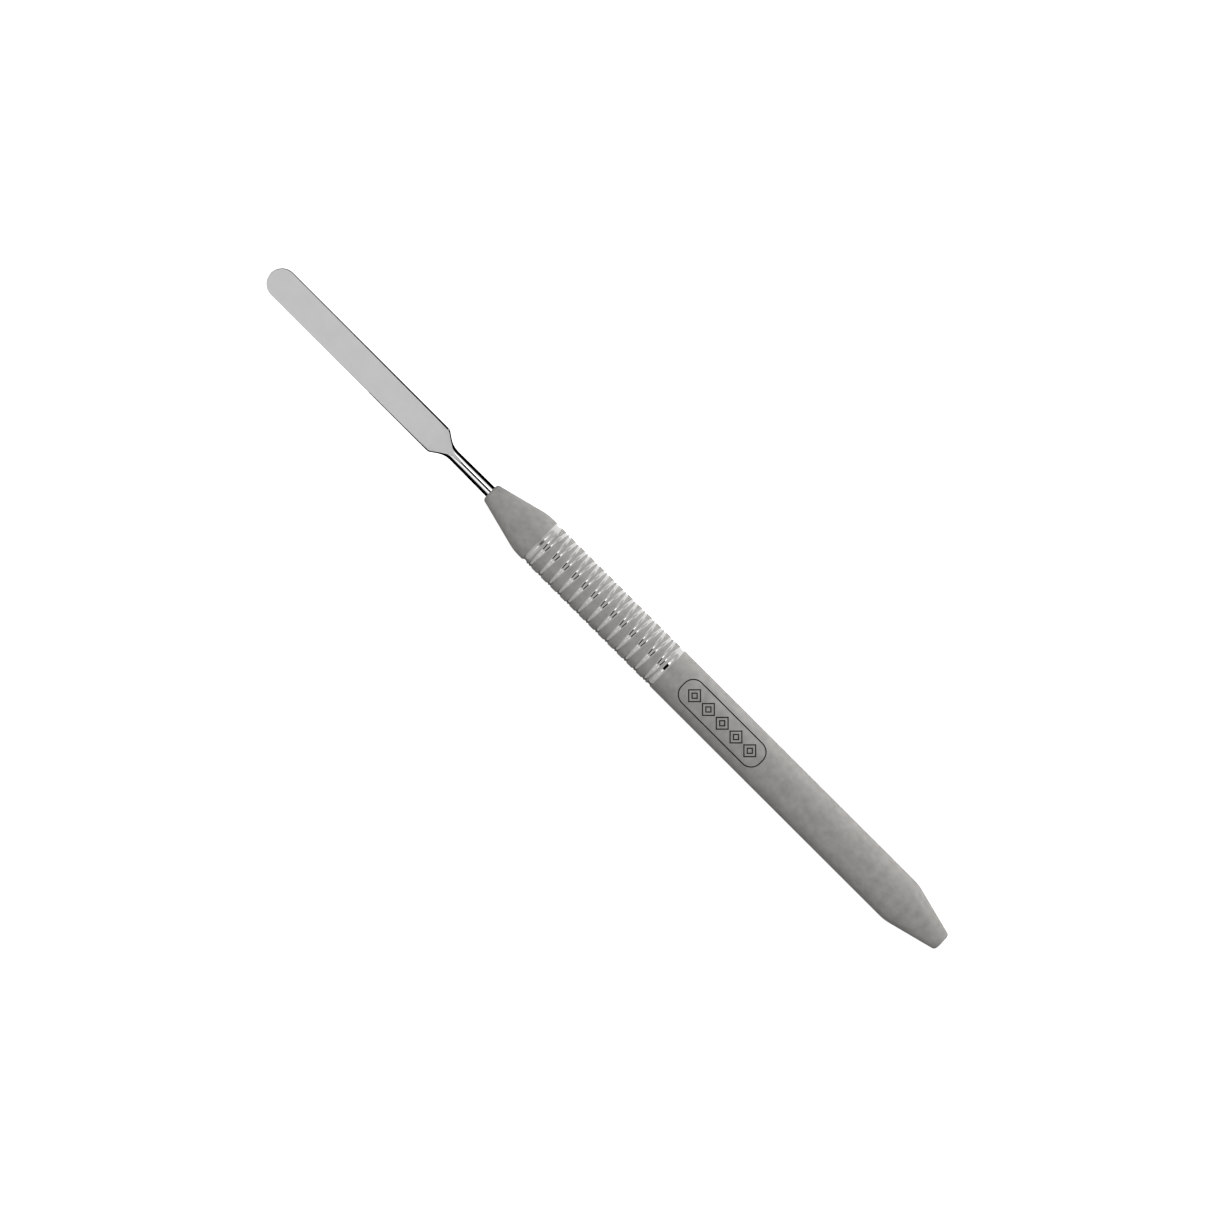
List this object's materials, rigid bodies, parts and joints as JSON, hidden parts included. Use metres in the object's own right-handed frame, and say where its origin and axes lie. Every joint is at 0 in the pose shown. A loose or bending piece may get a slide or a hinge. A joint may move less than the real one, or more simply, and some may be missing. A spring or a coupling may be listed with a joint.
{
  "type": "ink knife",
  "caption": "Slim round-handled knife with a narrow flexible round-tipped blade for mixing and spreading ink; crossed finger-grip grooves and blunt conical ends.",
  "frame": {"origin": "under the middle of the knife's length, on the surface that it lies on", "axes": "+X along the knife, out of the blade tip; +Z out of the blade's upper face; +Y across the blade"},
  "size_m": [0.1808, 0.0096, 0.0096],
  "materials": {
    "bright_steel": "polished spring steel",
    "satin_steel": "fine blasted satin, bright in the cut grooves",
    "solder": "silver solder, hidden"
  },
  "bodies": {
    "root": {"working_end": "bright_steel", "nose_cone": "satin_steel", "handle_tube": "satin_steel", "tail_cone": "satin_steel", "tang_solder_ring": "solder", "nose_solder_ring": "solder", "tail_solder_ring": "solder"}
  },
  "joints": []
}
